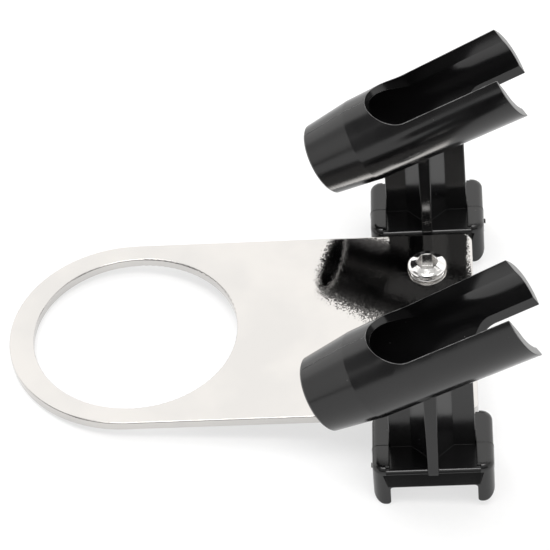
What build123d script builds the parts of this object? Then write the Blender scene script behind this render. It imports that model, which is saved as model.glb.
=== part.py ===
from build123d import *
import math
import os

# Twin cradle bracket that hangs on a round post: a flat ring plate drops over the post,
# a cross bar screwed under its far end carries two moulded holders, one each side.
#
# Frame: millimetres, +Z up and normal to the ring plate, +X from the ring to the holders.
# The origin is the centre of the ring's hole, half way through the plate. The "rear" holder
# is on +Y and the "front" holder on -Y. Everything is symmetrical about the XZ plane.
# Heights are drawn from the plate's top face, and every piece is lifted to the origin
# at the end, by half the plate's thickness.

# ---- ring plate ----
PLATE_WIDTH = 50.0
PLATE_THICKNESS = 2.0
PLATE_END_X = 69.15             # straight end, under the holders
PLATE_CORNER_RADIUS = 2.2
PLATE_EDGE_ROUND = 0.3
RING_HOLE_RADIUS = 20.85
RING_OUTER_RADIUS = PLATE_WIDTH / 2
RING_OUTER_X = -0.85            # the hole sits a little off the centre of the round end

# ---- cross bar ----
HOLDER_X = 59.95                 # centre of the bar and of both holders
BAR_WIDTH = 16.8
BAR_THICKNESS = 2.0
BAR_END_Y = 38.4
BAR_CORNER_RADIUS = 1.2

# ---- set screws (M8) ----
SET_SCREW_X = 59.75
SET_SCREW_Y = 15.1
SET_SCREW_RADIUS = 3.95
SET_SCREW_PITCH = 1.25
SET_SCREW_DEPTH = 0.62          # radial depth of the thread
SET_SCREW_TOP = 2.0             # height of the top above the plate
SET_SCREW_CROWN = [(2.2, 0.0), (3.4, 0.5), (3.75, 0.72)]  # (radius, depth below the top)
SET_SCREW_CROWN_DEPTH = 1.0
SET_SCREW_HOLE_RADIUS = 4.0
SOCKET_ACROSS_FLATS = 4.0
SOCKET_DEPTH = 3.2
SOCKET_LEAD = 0.15

# ---- retaining screws (M4, countersunk, up through the bar into each holder) ----
RETAINER_RADIUS = 1.95
RETAINER_PITCH = 0.7
RETAINER_THREAD_DEPTH = 0.3
RETAINER_HEAD_RADIUS = 3.7
RETAINER_TOP = 7.6
RETAINER_HOLE_RADIUS = 2.05
CROSS_RECESS_WIDTH = 0.95
CROSS_RECESS_LENGTH = 3.6
CROSS_RECESS_DEPTH = 1.3
HEAD_CLEARANCE = 0.06

# ---- holder, saddle base ----
BASE_HALF_WIDTH = 11.8
BASE_INNER_Y = 25.3             # face beside the plate's edge
BASE_OUTER_Y = 40.7
BASE_WALL_TOP = 1.15
BASE_FLOOR_TOP = 0.25
BASE_FLOOR_BOTTOM = -4.0
BASE_LEG_BOTTOM = -8.8
CHANNEL_HALF_WIDTH = 8.5
CORNER_RADIUS = 2.3             # upright outer corners
TOP_EDGE_RADIUS = 1.25          # all round the walls' top edge
LEG_TOE_RADIUS = 2.3
LEG_INNER_TOE_RADIUS = 0.8
ROOT_RADIUS = 0.7
FLOOR_END_RADIUS = 1.0          # floor's edge at each end, cut a little way into the walls
FLOOR_END_REACH = 9.2
END_HOLLOW_DEPTH = 2.0          # shallow sloping hollow in each end face, below the floor's edge
END_HOLLOW_TOP = -0.45
END_HOLLOW_TOP_HALF = 10.0
END_HOLLOW_LOW_HALF = 8.7
POCKET_END_Y = 38.6
POCKET_CEILING = -1.97

# ---- holder, stem ----
STEM_DRAWN_TOP = 45.0           # the tube cuts the stem off well below this
WEB_HALF_WIDTH_FOOT = 8.45
WEB_HALF_WIDTH_TOP = 8.1
WEB_THICKNESS = 1.8
STEM_EDGE_RADIUS = 0.25
BOSS_REACH = 5.0                # square boss set corner-on, centre to corner
RIB_HALF_WIDTH_FOOT = 1.03
RIB_HALF_WIDTH_TOP = 1.65
RIB_FOOT_REACH = 7.7            # how far the rib stands off the mid-plane
RIB_TOP_REACH = 5.2
RIB_FOOT_Z = -0.9
RIB_TOP_Z = 19.0

# ---- holder, cradle tube ----
TUBE_TILT = 29.2                # degrees above the plate, rising towards +X
TUBE_START_X = 39.0             # centre of the narrow end
TUBE_START_Z = 15.15
TUBE_LENGTH = 44.6
NOSE_LENGTH = 10.5
NARROW_RADIUS = 7.65
SHOULDER_RADIUS = 8.85
WIDE_RADIUS = 9.55
TUBE_WALL = 1.5
NARROW_LIP = 0.35               # chamfer round each end
WIDE_LIP = 0.12
TOP_SLOT_START = 23.1           # centre of the slot's round end, along the tube
TOP_SLOT_HALF_WIDTH = 7.35
TOP_SLOT_MOUTH_HALF_WIDTH = 7.9
LOWER_SLOT_START = 35.2
LOWER_SLOT_HALF_WIDTH = 6.4
LOWER_SLOT_MOUTH_HALF_WIDTH = 6.6

PLATE_BOTTOM = -PLATE_THICKNESS
BAR_BOTTOM = PLATE_BOTTOM - BAR_THICKNESS
HOLDER_Y = (BASE_INNER_Y + BASE_OUTER_Y) / 2
BASE_HALF_DEPTH = (BASE_OUTER_Y - BASE_INNER_Y) / 2


def cylinder_at(x, y, z_low, z_high, radius):
    """Upright cylinder between two heights."""
    return Pos(x, y, (z_low + z_high) / 2) * Cylinder(radius, z_high - z_low)


def box_between(low, high):
    """Box from its low corner to its high corner."""
    size = [b - a for a, b in zip(low, high)]
    middle = [(a + b) / 2 for a, b in zip(low, high)]
    return Pos(*middle) * Box(*size)


def rounded_slab(half_x, half_y, radius, z_low, z_high):
    """Flat rectangular slab with rounded upright corners, centred on the Z axis."""
    outline = RectangleRounded(2 * half_x, 2 * half_y, radius)
    return Pos(0, 0, z_low) * extrude(outline, z_high - z_low)


def turned(profile):
    """Solid of revolution about Z from (radius, height) points."""
    outline = Plane.XZ * make_face(Polyline(*profile, close=True))
    return revolve(outline, Axis.Z)


def thread_profile(radius, depth, pitch, z_low, z_high):
    """Outer (radius, height) points of ring grooves that stand for a thread."""
    points = []
    turns = int((z_high - z_low) / pitch)
    first = z_low + ((z_high - z_low) - turns * pitch) / 2
    for turn in range(turns):
        z = first + turn * pitch
        points.append((radius, z + 0.08 * pitch))
        points.append((radius - depth, z + 0.44 * pitch))
        points.append((radius - depth, z + 0.56 * pitch))
        points.append((radius, z + 0.92 * pitch))
    return points


def make_ring_plate():
    round_end = Pos(RING_OUTER_X, 0) * Circle(RING_OUTER_RADIUS)
    length = PLATE_END_X - RING_OUTER_X
    bar = Pos(RING_OUTER_X + length / 2, 0) * Rectangle(length, PLATE_WIDTH)
    outline = round_end + bar
    corners = outline.vertices().filter_by(lambda v: v.X > PLATE_END_X - 0.01)
    outline = fillet(corners, PLATE_CORNER_RADIUS)
    outline -= Circle(RING_HOLE_RADIUS)
    plate = Pos(0, 0, PLATE_BOTTOM) * extrude(outline, PLATE_THICKNESS)
    flat = plate.edges().filter_by(lambda e: abs(e.bounding_box().size.Z) < 1e-6)
    plate = fillet(flat, PLATE_EDGE_ROUND)
    for side in (1, -1):
        plate -= cylinder_at(SET_SCREW_X, side * SET_SCREW_Y, PLATE_BOTTOM - 1, 1,
                             SET_SCREW_HOLE_RADIUS)
    return plate


def make_cross_bar():
    bar = rounded_slab(BAR_WIDTH / 2, BAR_END_Y, BAR_CORNER_RADIUS, BAR_BOTTOM, PLATE_BOTTOM)
    bar = Pos(HOLDER_X, 0, 0) * bar
    for side in (1, -1):
        bar -= cylinder_at(SET_SCREW_X, side * SET_SCREW_Y, BAR_BOTTOM - 1, PLATE_BOTTOM + 1,
                           SET_SCREW_HOLE_RADIUS)
        bar -= cylinder_at(HOLDER_X, side * HOLDER_Y, BAR_BOTTOM - 1, PLATE_BOTTOM + 1,
                           RETAINER_HOLE_RADIUS + 0.1)
        sink = RETAINER_HEAD_RADIUS + HEAD_CLEARANCE
        cone = turned([(0, -0.2), (sink + 0.2, -0.2), (0, sink)])
        bar -= Pos(HOLDER_X, side * HOLDER_Y, BAR_BOTTOM) * cone
    return bar


def make_set_screw():
    """Socket set screw, flush with the bar's underside, upright on the Z axis."""
    low, high = BAR_BOTTOM, SET_SCREW_TOP
    crest = SET_SCREW_RADIUS
    shoulder = high - SET_SCREW_CROWN_DEPTH
    profile = [(0, low), (crest - 0.7, low), (crest, low + 0.55)]
    profile += thread_profile(crest, SET_SCREW_DEPTH, SET_SCREW_PITCH, low + 0.6, shoulder)
    profile.append((crest, shoulder))
    profile += [(radius, high - depth) for radius, depth in reversed(SET_SCREW_CROWN)]
    profile.append((0, high))
    screw = turned(profile)
    hexagon = RegularPolygon(SOCKET_ACROSS_FLATS / 2, 6, major_radius=False)
    socket = Pos(0, 0, high - SOCKET_DEPTH) * extrude(hexagon, SOCKET_DEPTH + 1)
    lead = turned([(0, -SOCKET_LEAD), (SOCKET_ACROSS_FLATS / 2, -SOCKET_LEAD),
                   (SOCKET_ACROSS_FLATS / 2 + 2 * SOCKET_LEAD, SOCKET_LEAD), (0, SOCKET_LEAD)])
    return screw - socket - Pos(0, 0, high) * lead


def make_retaining_screw():
    """Countersunk screw, head flush with the bar's underside, upright on the Z axis."""
    low, high = BAR_BOTTOM, RETAINER_TOP
    crest = RETAINER_RADIUS
    neck = low + RETAINER_HEAD_RADIUS - crest
    outer = thread_profile(crest, RETAINER_THREAD_DEPTH, RETAINER_PITCH, neck + 0.8, high - 0.5)
    profile = [(0, low), (RETAINER_HEAD_RADIUS, low), (crest, neck)]
    profile += outer
    profile += [(crest, high - 0.45), (crest - 0.45, high), (0, high)]
    screw = turned(profile)
    for angle in (0, 90):
        arm = Box(CROSS_RECESS_LENGTH, CROSS_RECESS_WIDTH, 2 * CROSS_RECESS_DEPTH)
        screw -= Pos(0, 0, low) * Rot(0, 0, angle) * arm
    return screw


def tube_frame():
    """Plane at the tube's narrow end: z along the tube, x across it in the XZ plane."""
    tilt = math.radians(TUBE_TILT)
    along = (math.cos(tilt), 0, math.sin(tilt))
    lower_side = (math.sin(tilt), 0, -math.cos(tilt))
    start = (TUBE_START_X - HOLDER_X, 0, TUBE_START_Z)
    return Plane(origin=start, x_dir=lower_side, z_dir=along)


def tube_outer():
    profile = [(0, 0), (NARROW_RADIUS - NARROW_LIP, 0), (NARROW_RADIUS, NARROW_LIP),
               (SHOULDER_RADIUS, NOSE_LENGTH), (WIDE_RADIUS, TUBE_LENGTH - WIDE_LIP),
               (WIDE_RADIUS - WIDE_LIP, TUBE_LENGTH), (0, TUBE_LENGTH)]
    return tube_frame() * turned(profile)


def tube_bore():
    """Inside of the tube, run on past both ends."""
    narrow = NARROW_RADIUS - TUBE_WALL
    shoulder = SHOULDER_RADIUS - TUBE_WALL
    wide = WIDE_RADIUS - TUBE_WALL
    flare = (wide - shoulder) / (TUBE_LENGTH - NOSE_LENGTH)
    profile = [(0, -6), (narrow, -6), (narrow, 0), (shoulder, NOSE_LENGTH),
               (wide + 6 * flare, TUBE_LENGTH + 6), (0, TUBE_LENGTH + 6)]
    return tube_frame() * turned(profile)


def slot_cutter(start, half_width, mouth_half_width, side):
    """Slot with a round closed end, open at the wide end. side is +1 below, -1 above."""
    # drawn in the tube's own frame, y across the tube and z along it, then pushed along x
    end = TUBE_LENGTH + 4
    sweep = Plane(origin=(0, 0, 0), x_dir=(0, 1, 0), z_dir=(1, 0, 0))
    flare = Polyline((half_width, start), (mouth_half_width, end), (-mouth_half_width, end),
                     (-half_width, start), close=True)
    outline = make_face(flare) + Pos(0, start) * Circle(half_width)
    cutter = sweep * extrude(outline, side * 2 * WIDE_RADIUS)
    return tube_frame() * cutter


def base_section():
    """Cross-section of the saddle in the XZ plane: walls, legs and the floor between."""
    # a shade wide and tall, so that the rounded slab trims the sides and the top
    top = BASE_WALL_TOP + 0.02
    wall = Rectangle(2 * (BASE_HALF_WIDTH + 0.02), top - BASE_LEG_BOTTOM)
    section = Pos(0, (top + BASE_LEG_BOTTOM) / 2) * wall
    section = fillet(section.vertices().group_by(Axis.Y)[0], LEG_TOE_RADIUS)
    width = 2 * CHANNEL_HALF_WIDTH
    above = Pos(0, BASE_FLOOR_TOP + 5) * Rectangle(width, 10)
    below = Pos(0, BASE_FLOOR_BOTTOM - 5) * Rectangle(width, 10)
    section = section - above - below
    roots = section.vertices().filter_by(lambda v: abs(v.Y - BASE_FLOOR_BOTTOM) < 1e-4)
    section = fillet(roots, ROOT_RADIUS)
    toes = section.vertices().filter_by(
        lambda v: v.Y < BASE_LEG_BOTTOM + 1e-4 and abs(abs(v.X) - CHANNEL_HALF_WIDTH) < 1e-4)
    return fillet(toes, LEG_INNER_TOE_RADIUS)


def side_prism(points, half_width):
    """Solid with that outline in the YZ plane, half_width each side of it."""
    return extrude(Plane.YZ * make_face(Polyline(*points, close=True)), half_width, both=True)


def end_hollow():
    """Cutter for the sloping hollow in the end face at +Y."""
    top = END_HOLLOW_TOP
    face = BASE_HALF_DEPTH
    wedge = side_prism([(face + 1, top), (face - END_HOLLOW_DEPTH, top),
                        (face + 0.05, BASE_FLOOR_BOTTOM), (face + 1, BASE_FLOOR_BOTTOM)],
                       BASE_HALF_WIDTH)
    front = make_face(Polyline((-END_HOLLOW_TOP_HALF, top + 1), (END_HOLLOW_TOP_HALF, top + 1),
                               (END_HOLLOW_LOW_HALF, BASE_FLOOR_BOTTOM - 1),
                               (-END_HOLLOW_LOW_HALF, BASE_FLOOR_BOTTOM - 1), close=True))
    return wedge & (Plane.XZ * Pos(0, 0, -2 * face) * extrude(front, 4 * face))


def make_base():
    """Saddle: two side walls with legs, a floor between them and a pocket for the bar."""
    section = Plane.XZ * base_section()
    block = extrude(section, BASE_HALF_DEPTH + 0.02, both=True)
    slab = rounded_slab(BASE_HALF_WIDTH, BASE_HALF_DEPTH, CORNER_RADIUS, BASE_LEG_BOTTOM - 1,
                        BASE_WALL_TOP)
    block &= fillet(slab.edges().group_by(Axis.Z)[-1], TOP_EDGE_RADIUS)
    # floor edge: a rounding at each end, as wide as the floor and a little of each wall
    start = BASE_HALF_DEPTH - FLOOR_END_RADIUS
    low = BASE_FLOOR_TOP - FLOOR_END_RADIUS
    keep = Pos(0, start, low) * Rot(0, 90, 0) * Cylinder(FLOOR_END_RADIUS, 3 * FLOOR_END_REACH)
    over = box_between((-FLOOR_END_REACH, start, low),
                       (FLOOR_END_REACH, BASE_HALF_DEPTH + 1, BASE_WALL_TOP + 1))
    cutter = (over - keep) + end_hollow()
    block = block - cutter - cutter.mirror(Plane.XZ)
    half = CHANNEL_HALF_WIDTH
    return block - box_between((-half, -BASE_HALF_DEPTH - 1, BASE_FLOOR_BOTTOM - 1),
                               (half, POCKET_END_Y - HOLDER_Y, POCKET_CEILING))


def upright_edges(shape):
    """Edges that run mostly upwards."""
    return shape.edges().filter_by(lambda e: e.bounding_box().size.Z > 0.5 * e.length)


def tapered_prism(low, half_foot, half_top, half_depth):
    """Upright bar of the stem, its width in X changing from the foot to the drawn top."""
    outline = Polyline((-half_foot, low), (half_foot, low), (half_top, STEM_DRAWN_TOP),
                       (-half_top, STEM_DRAWN_TOP), close=True)
    return extrude(Plane.XZ * make_face(outline), half_depth, both=True)


def make_stem():
    """Upright web with a screw boss in its middle and a rib down each face."""
    top = STEM_DRAWN_TOP
    web = tapered_prism(0, WEB_HALF_WIDTH_FOOT, WEB_HALF_WIDTH_TOP, WEB_THICKNESS / 2)
    web = fillet(upright_edges(web), STEM_EDGE_RADIUS)
    side = BOSS_REACH * math.sqrt(2)
    boss = Rot(0, 0, 45) * box_between((-side / 2, -side / 2, 0), (side / 2, side / 2, top))
    rib = side_prism([(-RIB_FOOT_REACH, RIB_FOOT_Z), (RIB_FOOT_REACH, RIB_FOOT_Z),
                      (RIB_TOP_REACH, RIB_TOP_Z), (RIB_TOP_REACH, top),
                      (-RIB_TOP_REACH, top), (-RIB_TOP_REACH, RIB_TOP_Z)],
                     RIB_HALF_WIDTH_TOP + 1)
    rib &= tapered_prism(RIB_FOOT_Z, RIB_HALF_WIDTH_FOOT, RIB_HALF_WIDTH_TOP, RIB_FOOT_REACH + 1)
    rib = fillet(upright_edges(rib), STEM_EDGE_RADIUS)
    stem = web + boss + rib
    above_axis = tube_frame() * Pos(-40, 0, 20) * Box(80, 80, 200)
    return stem - above_axis


def make_holder():
    """One moulding: base, stem and cradle tube, centred on the base, pocket open to -Y."""
    body = make_base() + make_stem() + tube_outer()
    body -= tube_bore()
    body -= slot_cutter(TOP_SLOT_START, TOP_SLOT_HALF_WIDTH, TOP_SLOT_MOUTH_HALF_WIDTH, -1)
    body -= slot_cutter(LOWER_SLOT_START, LOWER_SLOT_HALF_WIDTH, LOWER_SLOT_MOUTH_HALF_WIDTH, 1)
    body -= cylinder_at(0, 0, POCKET_CEILING - 1, RETAINER_TOP + 1.2, RETAINER_HOLE_RADIUS)
    return body


def main():
    os.makedirs("parts", exist_ok=True)
    rear_holder = Pos(HOLDER_X, HOLDER_Y, 0) * make_holder()
    set_screw = make_set_screw()
    retaining_screw = make_retaining_screw()
    pieces = {
        "ring_plate": make_ring_plate(),
        "cross_bar": make_cross_bar(),
        "holder_rear": rear_holder,
        "holder_front": rear_holder.mirror(Plane.XZ),
        "set_screw_rear": Pos(SET_SCREW_X, SET_SCREW_Y, 0) * set_screw,
        "set_screw_front": Pos(SET_SCREW_X, -SET_SCREW_Y, 0) * set_screw,
        "retaining_screw_rear": Pos(HOLDER_X, HOLDER_Y, 0) * retaining_screw,
        "retaining_screw_front": Pos(HOLDER_X, -HOLDER_Y, 0) * retaining_screw,
    }
    for name, shape in pieces.items():
        export_step(Pos(0, 0, PLATE_THICKNESS / 2) * shape, f"parts/{name}.step")


main()
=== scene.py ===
import math

import bpy
from mathutils import Matrix, Vector


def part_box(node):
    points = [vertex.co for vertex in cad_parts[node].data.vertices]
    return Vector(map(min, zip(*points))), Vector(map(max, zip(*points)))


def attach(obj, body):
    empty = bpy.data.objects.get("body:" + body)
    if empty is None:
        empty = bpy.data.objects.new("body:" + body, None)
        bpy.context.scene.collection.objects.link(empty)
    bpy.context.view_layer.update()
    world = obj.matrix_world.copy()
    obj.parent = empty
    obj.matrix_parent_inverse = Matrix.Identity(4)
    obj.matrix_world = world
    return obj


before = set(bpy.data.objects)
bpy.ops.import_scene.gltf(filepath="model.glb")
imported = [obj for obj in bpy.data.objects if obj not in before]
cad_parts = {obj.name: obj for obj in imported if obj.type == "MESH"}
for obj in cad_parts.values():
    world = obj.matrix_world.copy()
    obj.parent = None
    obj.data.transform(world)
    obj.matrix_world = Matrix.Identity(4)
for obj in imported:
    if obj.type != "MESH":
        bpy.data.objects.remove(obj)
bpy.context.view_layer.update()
MM = 0.001


def middle(node):
    """Middle of a CAD node's box."""
    low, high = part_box(node)
    return (low + high) / 2


# ---- camera, at the angle from which the bracket is pictured ----
CAMERA_PLACE = Vector((68.285, -422.202, 439.517)) * MM
CAMERA_YAW = math.radians(-5.23)
CAMERA_PITCH = math.radians(44.98)
CAMERA_ROLL = math.radians(-5.92)
CAMERA_LENS = 196.4
SENSOR_WIDTH = 36.0

# ---- floor: the bracket leans on its ring and on the left toes of its saddles ----
FLOOR_TILT = math.radians(5.1)
FLOOR_SIZE = 6.0
FLOOR_GAP = 0.02 * MM

# ---- saddles: the middle of each is read from the frame, and the walls are as drawn in the CAD ----
HOLDER_X = middle("cross_bar").x
HOLDER_Y = middle("holder_rear").y
WALL_OUTER = 11.8 * MM            # outer side of a wall, from the saddle's middle
WALL_TOP = 2.15 * MM
WALL_ROUND = 1.25 * MM            # rounding along the top edge of a wall

# ---- cradle tubes, as drawn in the CAD ----
TUBE_TILT = math.radians(29.2)
TUBE_START = Vector((39.0, 0.0, 16.15)) * MM
TUBE_ALONG = Vector((math.cos(TUBE_TILT), 0.0, math.sin(TUBE_TILT)))
TUBE_TOP_SIDE = Vector((-math.sin(TUBE_TILT), 0.0, math.cos(TUBE_TILT)))
TUBE_LENGTH = 44.6 * MM
NOSE_LENGTH = 10.5 * MM
NARROW_RADIUS = 7.65 * MM
SHOULDER_RADIUS = 8.85 * MM
WIDE_RADIUS = 9.55 * MM

# ---- moulding marks ----
SEAM_SINK = 0.04 * MM             # how far the middle of a seam's bead lies under the surface
WALL_SEAM_RADIUS = 0.12 * MM
WALL_SEAM_OFFSET = -1.2 * MM      # along Y, from the saddle's middle
WALL_SEAM_REACH = 3.2 * MM        # over the top of a wall, from its outer side
WALL_SEAM_FOOT = -5.4 * MM
WALL_SEAM_STEPS = 8               # round the wall's top edge
TUBE_SEAM_RADIUS = 0.08 * MM
TUBE_SEAM_START = 0.5 * MM
TOP_SEAM_END = 15.6 * MM          # just short of the upper slot
UNDER_SEAM_END = 9.2 * MM         # just short of the stem
GATE_RADIUS = 0.5 * MM
GATE_SINK = 0.2 * MM              # into the wall
GATE_STAND = 0.45 * MM            # out of the wall
GATE_HEIGHT_FRONT = -5.0 * MM
GATE_HEIGHT_REAR = -3.5 * MM

# ---- surface detail ----
PLATE_EDGE_ROUND = 0.3 * MM
PLATE_CELL = 0.19 * MM            # size of the grain in the bright plating
PLATE_CELL_TILT = 0.038           # each cell tips the surface by a slope of up to half of this
SCREW_EDGE_ROUND = 0.12 * MM
PLASTIC_EDGE_ROUND = 0.2 * MM
DUST_SPACING = 1.6 * MM
RIM_HIGHLIGHT_HEIGHT = 3.0 * MM            # height above a tube's axis at which the painted rim highlight is full
CUT_FACE_DEPTH = 0.10 * MM        # of the satin finish, in from a tube's wide end
CUT_FACE_FULL = 0.04 * MM

# ---- studio tent: strength of each lit panel, and of the rest of the room ----
BACK_LIGHT = 1.55
SIDE_LIGHT = 1.2
FRONT_LIGHT = 0.7
OVERHEAD_LIGHT = 9.0
ROOM_LIGHT = 0.22


# ---------------------------------------------------------------- shader helpers

class Nodes:
    """A node tree, with short calls that add and link its nodes."""

    def __init__(self, tree):
        self.tree = tree

    def put(self, socket, value):
        """Links a value that is another node's output, and sets any other."""
        if isinstance(value, bpy.types.NodeSocket):
            self.tree.links.new(value, socket)
        else:
            socket.default_value = value

    def node(self, kind, settings=None, **inputs):
        """Adds a node. An underscore in an input's name stands for a space."""
        made = self.tree.nodes.new(kind)
        for key, value in (settings or {}).items():
            setattr(made, key, value)
        for key, value in inputs.items():
            self.put(made.inputs[key.replace("_", " ")], value)
        return made

    def operation(self, kind, name, first, second):
        """Adds a math node of that kind and name, with two inputs."""
        made = self.node(kind, {"operation": name})
        self.put(made.inputs[0], first)
        self.put(made.inputs[1], second)
        return made

    def number(self, name, first, second=0.0):
        return self.operation("ShaderNodeMath", name, first, second).outputs[0]

    def vector(self, name, first, second=(0.0, 0.0, 0.0)):
        return self.operation("ShaderNodeVectorMath", name, first, second).outputs["Vector"]

    def dot(self, first, second):
        return self.operation("ShaderNodeVectorMath", "DOT_PRODUCT", first, second).outputs["Value"]

    def ramp(self, value, low, high, out_low=0.0, out_high=1.0):
        """Smooth step from out_low to out_high as the value goes from low to high."""
        made = self.node("ShaderNodeMapRange", {"interpolation_type": "SMOOTHSTEP"}, Value=value,
                         From_Min=low, From_Max=high, To_Min=out_low, To_Max=out_high)
        return made.outputs["Result"]


class Shader(Nodes):
    """A new material, whose textures are placed in metres in the frame."""

    def __init__(self, name):
        self.material = bpy.data.materials.new(name)
        self.material.use_nodes = True
        super().__init__(self.material.node_tree)
        self.surface = self.tree.nodes["Principled BSDF"]

    def place(self):
        """The point being shaded."""
        return self.node("ShaderNodeTexCoord").outputs["Object"]

    def stretched(self, place, scale):
        """The same point, drawn out along each axis whose scale is under 1."""
        return self.node("ShaderNodeMapping", Vector=place, Scale=scale).outputs["Vector"]

    def noise(self, place, size, detail=2.0):
        """Soft noise whose blotches are about size metres across."""
        return self.node("ShaderNodeTexNoise", Vector=place, Scale=1.0 / size, Detail=detail).outputs["Fac"]

    def cells(self, place, size):
        """Cells about size metres across, each with its own random colour."""
        return self.node("ShaderNodeTexVoronoi", {"feature": "F1"}, Vector=place, Scale=1.0 / size)

    def blend(self, factor, first, second):
        """Mix of two colours."""
        made = self.node("ShaderNodeMix", {"data_type": "RGBA"})
        factor_socket, first_colour, second_colour = made.inputs[0], made.inputs[6], made.inputs[7]
        self.put(factor_socket, factor)
        self.put(first_colour, first)
        self.put(second_colour, second)
        return made.outputs[2]

    def bump(self, height, depth, under=None):
        """Normal of a bump of that depth in metres, on top of another normal if one is given."""
        made = self.node("ShaderNodeBump", Height=height, Distance=depth, Strength=1.0)
        if under is not None:
            self.put(made.inputs["Normal"], under)
        return made.outputs["Normal"]

    def soft_edges(self, radius):
        """Normal that rounds sharp edges off by that radius in metres."""
        return self.node("ShaderNodeBevel", {"samples": 6}, Radius=radius).outputs["Normal"]

    def painted_edge_highlight(self, rounded):
        """Mask that is 1 where that rounded normal turns away from the surface, on sharp edges; it places a
        painted highlight.
        """
        surface = self.node("ShaderNodeNewGeometry").outputs["Normal"]
        return self.ramp(self.dot(rounded, surface), 0.985, 0.90)

    def finish(self, **inputs):
        """Sets or links the surface's inputs and returns the material."""
        for key, value in inputs.items():
            self.put(self.surface.inputs[key.replace("_", " ")], value)
        return self.material


def rgb(red, green, blue):
    return (red, green, blue, 1.0)


def grey(value):
    return rgb(value, value, value)


# ---------------------------------------------------------------- materials

def plated_steel():
    """Bright nickel plate over rolled steel: a mirror with a fine grain."""
    shader = Shader("bright_plated_steel")
    place = shader.place()
    haze = shader.noise(place, 18 * MM, detail=3.0)
    rolled = shader.noise(shader.stretched(place, (0.06, 1.0, 1.0)), 0.5 * MM)
    wave = shader.noise(place, 9 * MM, detail=1.0)
    pale, dull = rgb(0.590, 0.574, 0.556), rgb(0.550, 0.538, 0.525)
    colour = shader.blend(shader.ramp(haze, 0.35, 0.65), pale, dull)
    rough = shader.ramp(haze, 0.3, 0.7, 0.03, 0.07)
    normal = shader.bump(rolled, 0.0006 * MM, shader.soft_edges(PLATE_EDGE_ROUND))
    normal = shader.bump(wave, 0.004 * MM, normal)
    # each cell of the grain tips the mirror its own way
    tilt = shader.vector("SUBTRACT", shader.cells(place, PLATE_CELL).outputs["Color"], (0.5,) * 3)
    tilt = shader.vector("MULTIPLY", tilt, (PLATE_CELL_TILT,) * 3)
    normal = shader.vector("NORMALIZE", shader.vector("ADD", normal, tilt))
    return shader.finish(Base_Color=colour, Metallic=1.0, Roughness=rough, Normal=normal)


def zinc_steel():
    """Duller plating of the cross bar, with a grain along the bar."""
    shader = Shader("zinc_plated_bar")
    place = shader.place()
    cloud = shader.noise(place, 6 * MM, detail=3.0)
    brushed = shader.noise(shader.stretched(place, (1.0, 0.04, 1.0)), 0.25 * MM, detail=3.0)
    pale, dull = rgb(0.56, 0.56, 0.555), rgb(0.47, 0.475, 0.485)
    colour = shader.blend(shader.ramp(cloud, 0.35, 0.7), pale, dull)
    rough = shader.ramp(brushed, 0.3, 0.7, 0.22, 0.34)
    normal = shader.bump(brushed, 0.003 * MM)
    return shader.finish(Base_Color=colour, Metallic=1.0, Roughness=rough, Normal=normal)


def screw_steel():
    """Bright screw steel, dulled a little by handling."""
    shader = Shader("bright_screw_steel")
    place = shader.place()
    handled = shader.noise(place, 1.4 * MM, detail=3.0)
    marks = shader.noise(shader.stretched(place, (1.0, 1.0, 4.0)), 0.25 * MM)
    bright, dull = rgb(0.86, 0.85, 0.84), rgb(0.62, 0.61, 0.595)
    colour = shader.blend(shader.ramp(handled, 0.42, 0.7), bright, dull)
    rough = shader.ramp(handled, 0.35, 0.7, 0.05, 0.15)
    normal = shader.bump(marks, 0.0035 * MM, shader.soft_edges(SCREW_EDGE_ROUND))
    return shader.finish(Base_Color=colour, Metallic=1.0, Roughness=rough, Normal=normal)


def black_plastic():
    """Glossy black moulded plastic: flow texture, dust, a painted highlight on the slot rims and a satin
    cut face.
    """
    shader = Shader("glossy_black_plastic")
    place = shader.place()
    haze = shader.noise(place, 12 * MM, detail=3.0)
    deep, faded = rgb(0.0045, 0.0045, 0.0048), rgb(0.0075, 0.0075, 0.0078)
    colour = shader.blend(shader.ramp(haze, 0.4, 0.7), deep, faded)
    rough = shader.ramp(haze, 0.3, 0.7, 0.13, 0.20)

    # dust: a speck at the middle of about one cell in five
    dust = shader.cells(place, DUST_SPACING)
    speck = shader.ramp(dust.outputs["Distance"], 0.035, 0.06, 1.0, 0.0)
    red = shader.node("ShaderNodeSeparateColor", Color=dust.outputs["Color"]).outputs["Red"]
    speck = shader.number("MULTIPLY", speck, shader.ramp(red, 0.80, 0.82))
    colour = shader.blend(speck, colour, rgb(0.09, 0.088, 0.085))
    rough = shader.number("ADD", rough, shader.number("MULTIPLY", speck, 0.4))

    # painted highlight: sharp edges lightened in colour, only round the cradles' upper slots
    from_start = shader.vector("SUBTRACT", place, tuple(TUBE_START))
    above_axis = shader.dot(from_start, tuple(TUBE_TOP_SIDE))
    rounded = shader.soft_edges(PLASTIC_EDGE_ROUND)
    rim_highlight_paint = shader.number("MULTIPLY", shader.painted_edge_highlight(rounded), shader.ramp(above_axis, 0.0, RIM_HIGHLIGHT_HEIGHT))
    patchy = shader.ramp(shader.noise(place, 2.5 * MM), 0.35, 0.6, 0.35, 1.0)
    # the rims are painted paler in patches, standing in for the highlight their rounding would catch
    colour = shader.blend(shader.number("MULTIPLY", rim_highlight_paint, patchy), colour, grey(0.20))

    # the cut face at the wide end of each cradle is satin and paler
    along = shader.dot(from_start, tuple(TUBE_ALONG))
    cut = shader.ramp(along, TUBE_LENGTH - CUT_FACE_DEPTH, TUBE_LENGTH - CUT_FACE_FULL)
    colour = shader.blend(cut, colour, grey(0.19))
    rough = shader.number("ADD", rough, shader.number("MULTIPLY", cut, 0.25))

    flow = shader.noise(shader.stretched(place, (0.45, 1.0, 1.0)), 5 * MM)
    peel = shader.noise(place, 0.55 * MM)
    normal = shader.bump(flow, 0.006 * MM, rounded)
    normal = shader.bump(peel, 0.0012 * MM, normal)
    return shader.finish(Base_Color=colour, Roughness=rough, Normal=normal, IOR=1.5)


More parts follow.
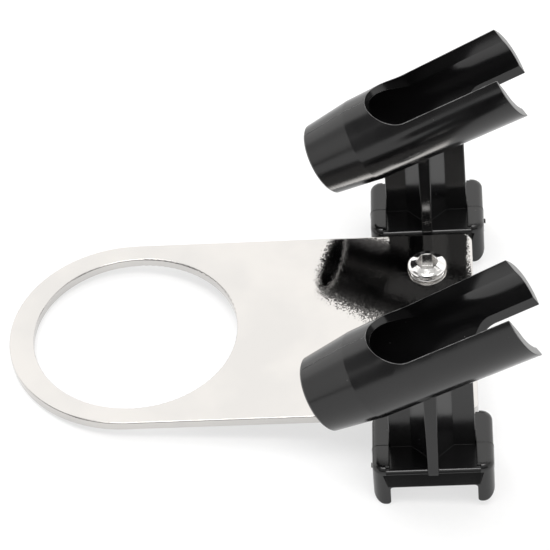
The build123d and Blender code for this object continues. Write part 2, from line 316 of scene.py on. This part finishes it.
def paper_floor():
    """White sheet on a light table, so that shadows on it stay faint."""
    shader = Shader("white_paper")
    fibre = shader.noise(shader.place(), 1.2 * MM, detail=3.0)
    colour = shader.blend(fibre, grey(0.29), grey(0.31))
    return shader.finish(Base_Color=colour, Roughness=0.9, Specular_IOR_Level=0.1,
                         Emission_Color=grey(1.0), Emission_Strength=0.62)


# ---------------------------------------------------------------- CAD nodes keep their shape

def give(nodes, material):
    """The named CAD nodes get the material."""
    for name in nodes:
        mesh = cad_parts[name].data
        mesh.materials.clear()
        mesh.materials.append(material)


ends = ("rear", "front")
give(["ring_plate"], plated_steel())
give(["cross_bar"], zinc_steel())
give([f"{kind}_{end}" for kind in ("set_screw", "retaining_screw") for end in ends], screw_steel())
plastic = black_plastic()
give([f"holder_{end}" for end in ends], plastic)


# ---------------------------------------------------------------- moulding marks on the holders

def show(thing):
    """Puts an object into the scene and returns it."""
    bpy.context.scene.collection.objects.link(thing)
    return thing


def moulding_mark(name, points, radius):
    """Fine round bead of the holders' plastic along those points."""
    curve = bpy.data.curves.new(name, "CURVE")
    curve.dimensions = "3D"
    curve.bevel_depth = radius
    curve.bevel_resolution = 3
    curve.use_fill_caps = True
    line = curve.splines.new("POLY")
    line.points.add(len(points) - 1)
    for point, place in zip(line.points, points):
        point.co = (*place, 1.0)
    curve.materials.append(plastic)
    mark = show(bpy.data.objects.new(name, curve))
    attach(mark, "bracket")


def wall_seam(holder_y, side):
    """Parting line over a wall's top and down its outer side, on the left (-1) or the right (+1)."""
    seam_y = holder_y + WALL_SEAM_OFFSET
    bend = WALL_ROUND - SEAM_SINK
    outline = [(WALL_OUTER - WALL_SEAM_REACH, WALL_TOP - SEAM_SINK)]
    for step in range(WALL_SEAM_STEPS + 1):
        angle = math.radians(90 - 90 * step / WALL_SEAM_STEPS)
        outline.append((WALL_OUTER - WALL_ROUND + bend * math.cos(angle),
                        WALL_TOP - WALL_ROUND + bend * math.sin(angle)))
    outline.append((WALL_OUTER - SEAM_SINK, WALL_SEAM_FOOT))
    return [Vector((HOLDER_X + side * out, seam_y, up)) for out, up in outline]


def tube_radius(along):
    """Outer radius of a cradle tube at that distance from its narrow end."""
    if along < NOSE_LENGTH:
        return NARROW_RADIUS + (SHOULDER_RADIUS - NARROW_RADIUS) * along / NOSE_LENGTH
    share = (along - NOSE_LENGTH) / (TUBE_LENGTH - NOSE_LENGTH)
    return SHOULDER_RADIUS + (WIDE_RADIUS - SHOULDER_RADIUS) * share


def tube_seam(holder_y, side, stations):
    """Parting line along a tube's top (side +1) or underside (side -1), by way of those distances."""
    start = TUBE_START + Vector((0, holder_y, 0))
    return [start + along * TUBE_ALONG + side * (tube_radius(along) - SEAM_SINK) * TUBE_TOP_SIDE
            for along in stations]


def gate_mark(holder_y, side, height):
    """Short stub across a wall's outer side, where the plastic was let into the mould."""
    return [Vector((HOLDER_X + side * (WALL_OUTER + reach), holder_y, height))
            for reach in (-GATE_SINK, GATE_STAND)]


for end, holder_y in zip(ends, (HOLDER_Y, -HOLDER_Y)):
    for hand, side in (("left", -1), ("right", 1)):
        moulding_mark(f"wall_seam_{hand}_{end}", wall_seam(holder_y, side), WALL_SEAM_RADIUS)
    top = tube_seam(holder_y, 1, [TUBE_SEAM_START, NOSE_LENGTH, TOP_SEAM_END])
    under = tube_seam(holder_y, -1, [TUBE_SEAM_START, UNDER_SEAM_END])
    moulding_mark(f"tube_seam_top_{end}", top, TUBE_SEAM_RADIUS)
    moulding_mark(f"tube_seam_under_{end}", under, TUBE_SEAM_RADIUS)

moulding_mark("gate_mark_front", gate_mark(-HOLDER_Y, -1, GATE_HEIGHT_FRONT), GATE_RADIUS)
moulding_mark("gate_mark_rear", gate_mark(HOLDER_Y, 1, GATE_HEIGHT_REAR), GATE_RADIUS)


# ---------------------------------------------------------------- floor, light and camera

def make_floor():
    """Large flat sheet that touches the ring's left edge and the saddles' left toes."""
    ring_low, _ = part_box("ring_plate")
    touch = Vector((ring_low.x, 0.0, ring_low.z - FLOOR_GAP))
    half = FLOOR_SIZE / 2
    tilt = Matrix.Rotation(FLOOR_TILT, 4, "Y")
    corners = [(-half, -half), (half, -half), (half, half), (-half, half)]
    mesh = bpy.data.meshes.new("floor")
    mesh.from_pydata([tuple(touch + tilt @ Vector((x, y, 0))) for x, y in corners], [], [(0, 1, 2, 3)])
    mesh.materials.append(paper_floor())
    floor = show(bpy.data.objects.new("floor", mesh))


def make_world():
    """White studio tent: bright behind, just in front of overhead and low at the sides.

    The camera sees plain white instead of the tent.
    """
    world = bpy.data.worlds.new("studio_tent")
    world.use_nodes = True
    world.node_tree.nodes.clear()
    tent = Nodes(world.node_tree)

    def both(first, second):
        return tent.number("MULTIPLY", first, second)

    # each panel is a soft-edged patch of directions, whose x, y and z run from -1 to 1
    direction = tent.node("ShaderNodeTexCoord").outputs["Generated"]
    x, y, z = tent.node("ShaderNodeSeparateXYZ", Vector=direction).outputs
    back = both(tent.ramp(y, 0.05, 0.30), tent.ramp(z, 0.95, 0.88))
    sides = both(tent.ramp(tent.number("ABSOLUTE", x), 0.68, 0.78), tent.ramp(z, 0.50, 0.45))
    front = both(tent.ramp(z, 0.45, 0.60), tent.ramp(x, -0.66, -0.45))
    overhead = both(tent.ramp(z, 0.90, 0.985), tent.ramp(y, -0.01, -0.09))

    panels = (back, BACK_LIGHT), (sides, SIDE_LIGHT), (front, FRONT_LIGHT), (overhead, OVERHEAD_LIGHT)
    light = ROOM_LIGHT
    for panel, strength in panels:
        light = tent.number("MAXIMUM", light, both(panel, strength))
    lit = tent.node("ShaderNodeBackground", Color=rgb(1.0, 0.992, 0.98), Strength=light)
    plain = tent.node("ShaderNodeBackground", Color=grey(1.0), Strength=1.0)

    choose = tent.node("ShaderNodeMixShader")
    choices = (tent.node("ShaderNodeLightPath").outputs["Is Camera Ray"], lit.outputs[0], plain.outputs[0])
    for socket, value in zip(choose.inputs, choices):
        tent.put(socket, value)
    tent.node("ShaderNodeOutputWorld", Surface=choose.outputs[0])
    bpy.context.scene.world = world


def make_soft_light(name, place, size, power):
    """Large area light aimed at the bracket, which lights the floor but leaves no mirror image."""
    lamp = bpy.data.lights.new(name, "AREA")
    lamp.shape = "DISK"
    lamp.size = size
    lamp.energy = power
    light = show(bpy.data.objects.new(name, lamp))
    light.location = place
    light.rotation_euler = (-Vector(place)).to_track_quat("-Z", "Y").to_euler()
    light.visible_glossy = False


def make_camera():
    """Long lens. Yaw turns it about Z, pitch tips it down, and roll turns it about its line of sight."""
    forward = Vector((math.sin(CAMERA_YAW), math.cos(CAMERA_YAW), 0))
    level = Vector((math.cos(CAMERA_YAW), -math.sin(CAMERA_YAW), 0))
    ahead = math.cos(CAMERA_PITCH) * forward - Vector((0, 0, math.sin(CAMERA_PITCH)))
    rise = level.cross(ahead)
    right = math.cos(CAMERA_ROLL) * level + math.sin(CAMERA_ROLL) * rise
    up = right.cross(ahead)
    camera = show(bpy.data.objects.new("camera", bpy.data.cameras.new("camera")))
    camera.data.lens = CAMERA_LENS
    camera.data.sensor_width = SENSOR_WIDTH
    camera.data.clip_start = 0.01
    axes = Matrix((right, up, -ahead)).transposed().to_4x4()
    camera.matrix_world = Matrix.Translation(CAMERA_PLACE) @ axes
    bpy.context.scene.camera = camera


make_floor()
make_world()
make_soft_light("key", place=(-0.5, 0.35, 1.1), size=0.9, power=9.0)
make_soft_light("fill", place=(0.6, -0.5, 1.0), size=1.2, power=4.0)
make_camera()
bpy.context.scene.view_settings.view_transform = "Standard"
